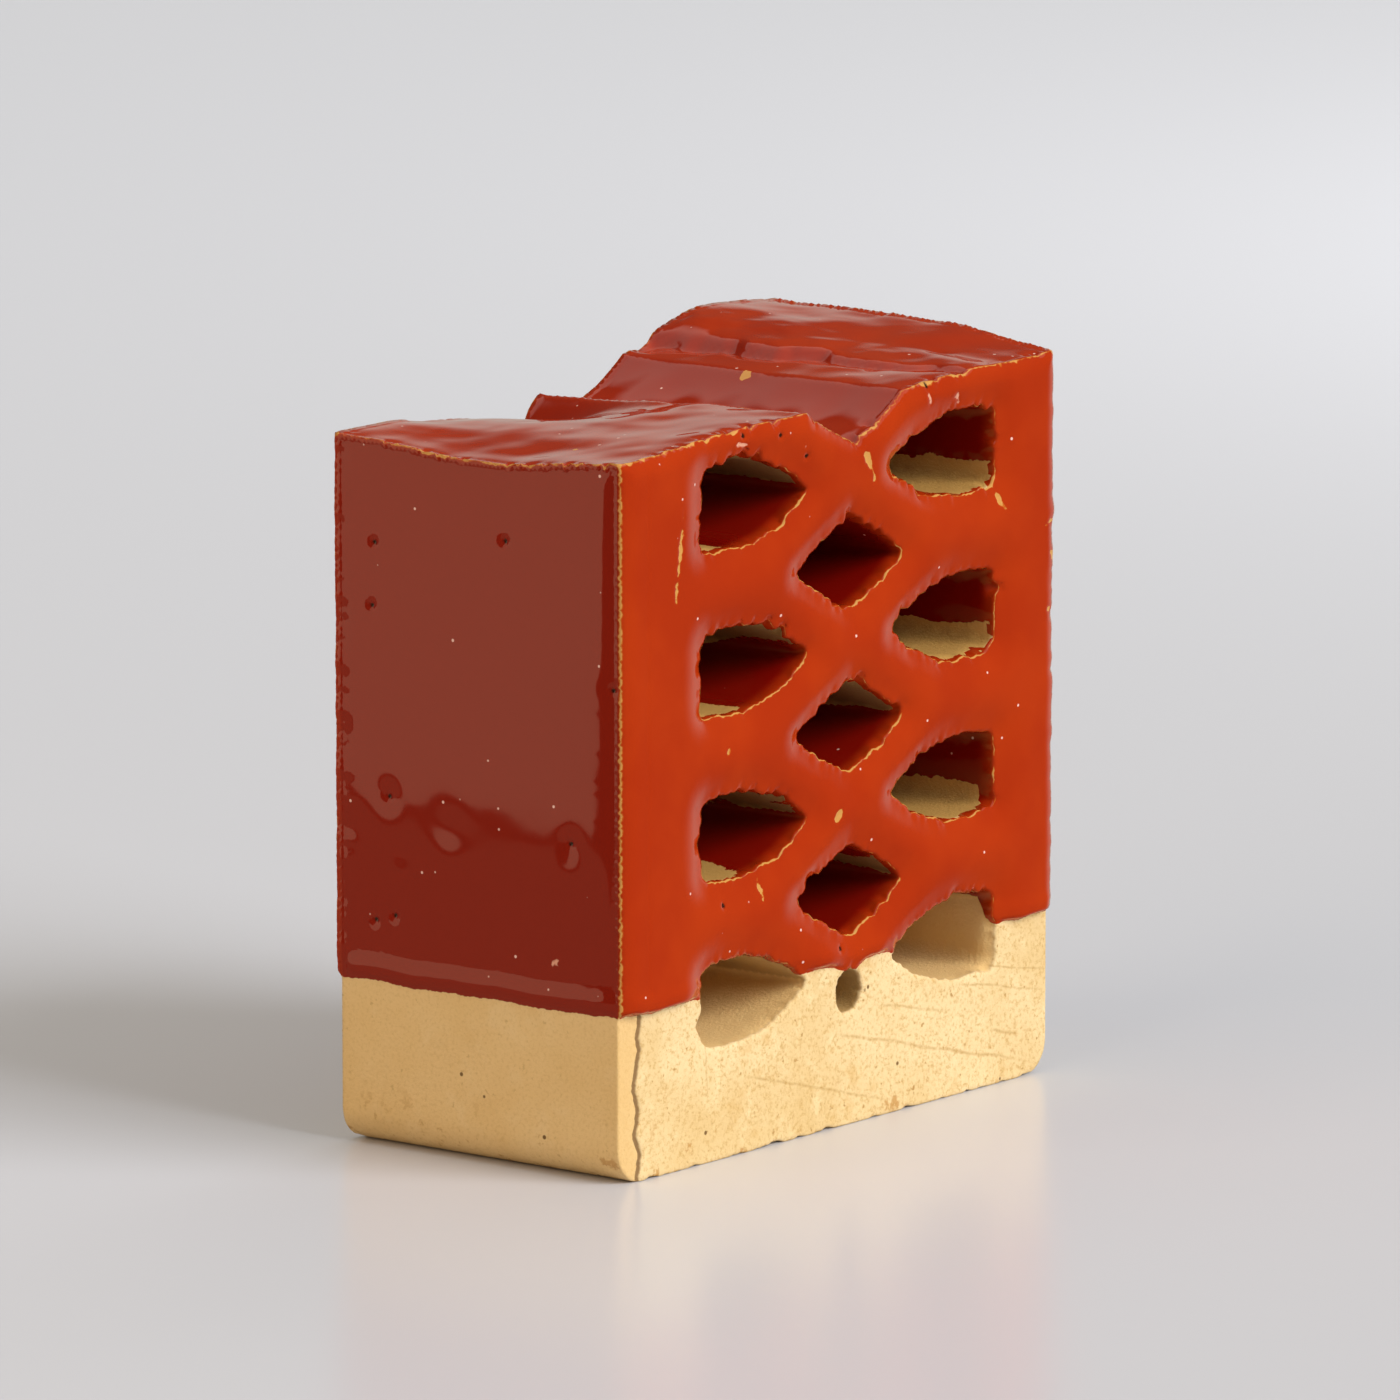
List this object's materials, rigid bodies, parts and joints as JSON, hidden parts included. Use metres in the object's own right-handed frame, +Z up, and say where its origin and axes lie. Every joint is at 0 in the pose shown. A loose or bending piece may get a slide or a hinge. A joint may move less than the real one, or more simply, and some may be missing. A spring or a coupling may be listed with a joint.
{
  "type": "half perforated clay brick",
  "caption": "Half of a perforated fired-clay brick standing on its header, dipped in glossy red glaze over a bare yellow foot, with through-holes across the bed faces and a rough broken top.",
  "frame": {"origin": "middle of the standing header face, on the floor", "axes": "+Z up along the brick's length, +X across the bed face, +Y along the perforations from the front bed face to the back one"},
  "size_m": [0.1, 0.05, 0.1094],
  "materials": {
    "fired_clay": "matt grainy",
    "red_glaze": "glossy"
  },
  "bodies": {
    "root": {"brick": "red_glaze"}
  },
  "joints": []
}
